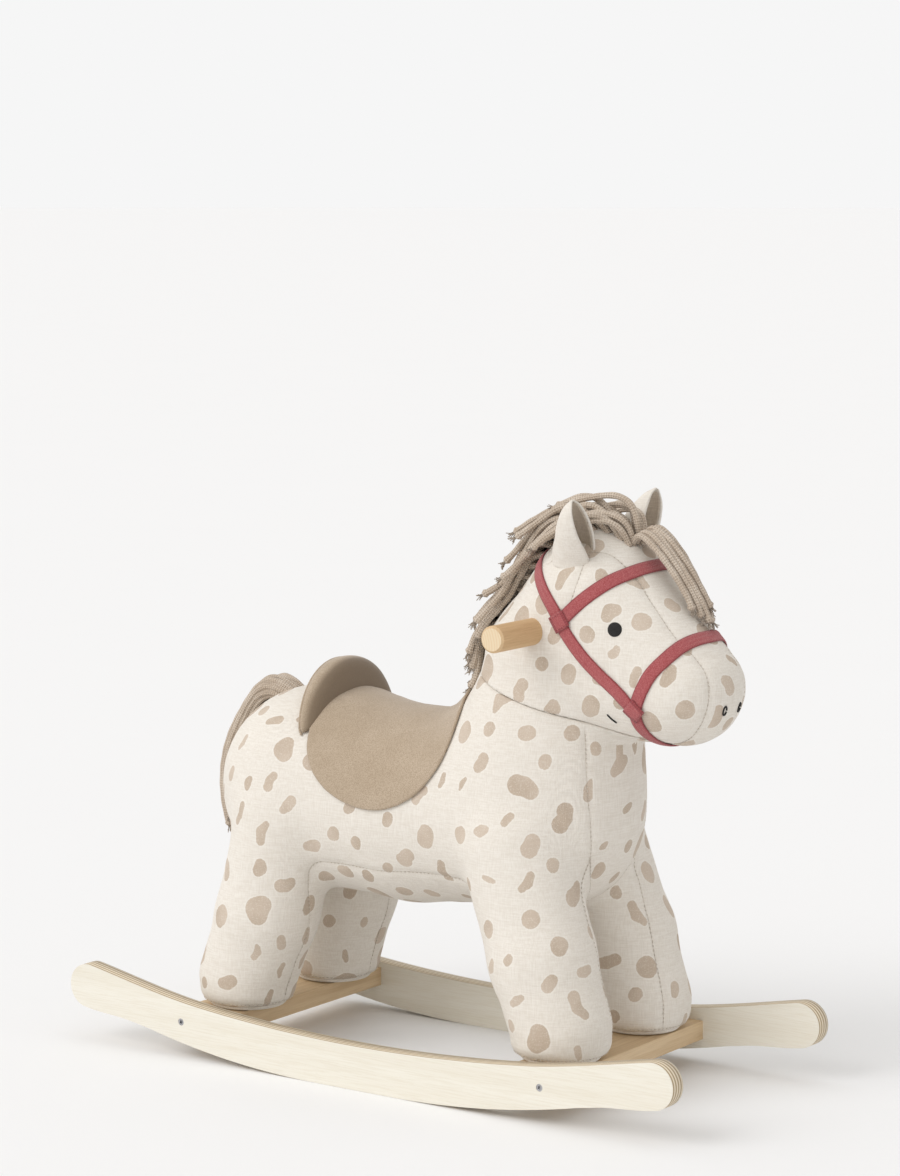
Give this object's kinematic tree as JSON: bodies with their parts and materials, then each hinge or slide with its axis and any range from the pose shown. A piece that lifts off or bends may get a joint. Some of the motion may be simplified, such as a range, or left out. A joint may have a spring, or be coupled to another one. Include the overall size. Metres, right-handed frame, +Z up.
{
  "type": "rocking horse",
  "caption": "Padded toddler rocking horse on two curved plywood rockers, with a dowel handle, a saddle, a tape bridle and a cord mane and tail.",
  "frame": {"origin": "on the floor, midway between the two rockers and midway between their tips", "axes": "+Z up, the horse looks along -Y, and +X is the horse's left side"},
  "size_m": [0.283, 0.7, 0.5639],
  "materials": {
    "birch_ply": "pale birch plywood, sanded, clear matt lacquer",
    "pine_board": "planed pine, clear matt lacquer",
    "pine_dowel": "turned pine dowel, clear satin lacquer",
    "beech_peg": "fluted beech peg",
    "inner_wood": "planed softwood",
    "inner_ply": "plain plywood",
    "steel": "zinc-plated steel",
    "spotted_cotton": "cream plain-weave cotton with printed taupe spots",
    "saddle_suede": "taupe brushed fabric, short nap",
    "ear_lining": "plain grey-beige cotton",
    "cotton_cord": "twisted beige cotton cord",
    "red_tape": "dusty red woven tape",
    "black_thread": "black embroidery thread"
  },
  "bodies": {
    "root": {"rocker_right": "birch_ply", "rocker_left": "birch_ply", "front_crossboard": "pine_board", "rear_crossboard": "pine_board", "rocker_screws": "steel", "locating_dowels": "beech_peg", "leg_post_front_right": "inner_wood", "leg_post_front_left": "inner_wood", "leg_post_rear_right": "inner_wood", "leg_post_rear_left": "inner_wood", "leg_screws": "steel", "seat_board": "inner_ply", "seat_board_screws": "steel", "neck_board": "inner_ply", "neck_brackets": "steel", "bracket_screws": "steel", "handle_dowel": "pine_dowel", "handle_screw": "steel", "torso": "spotted_cotton", "belly_panel": "spotted_cotton", "head": "spotted_cotton", "leg_front_right": "spotted_cotton", "leg_front_left": "spotted_cotton", "leg_rear_right": "spotted_cotton", "leg_rear_left": "spotted_cotton", "sole_front_right": "spotted_cotton", "sole_front_left": "spotted_cotton", "sole_rear_right": "spotted_cotton", "sole_rear_left": "spotted_cotton", "saddle_seat": "saddle_suede", "saddle_cantle": "saddle_suede", "ear_right": "spotted_cotton", "ear_left": "spotted_cotton", "ear_lining_right": "ear_lining", "ear_lining_left": "ear_lining", "mane": "cotton_cord", "forelock": "cotton_cord", "tail": "cotton_cord", "browband": "red_tape", "noseband": "red_tape", "headpiece": "red_tape", "cheek_strap_right": "red_tape", "cheek_strap_left": "red_tape", "chin_strap": "red_tape", "strap_tabs": "red_tape", "eyes": "black_thread", "nostrils": "black_thread", "mouth_stitches": "black_thread"}
  },
  "joints": []
}
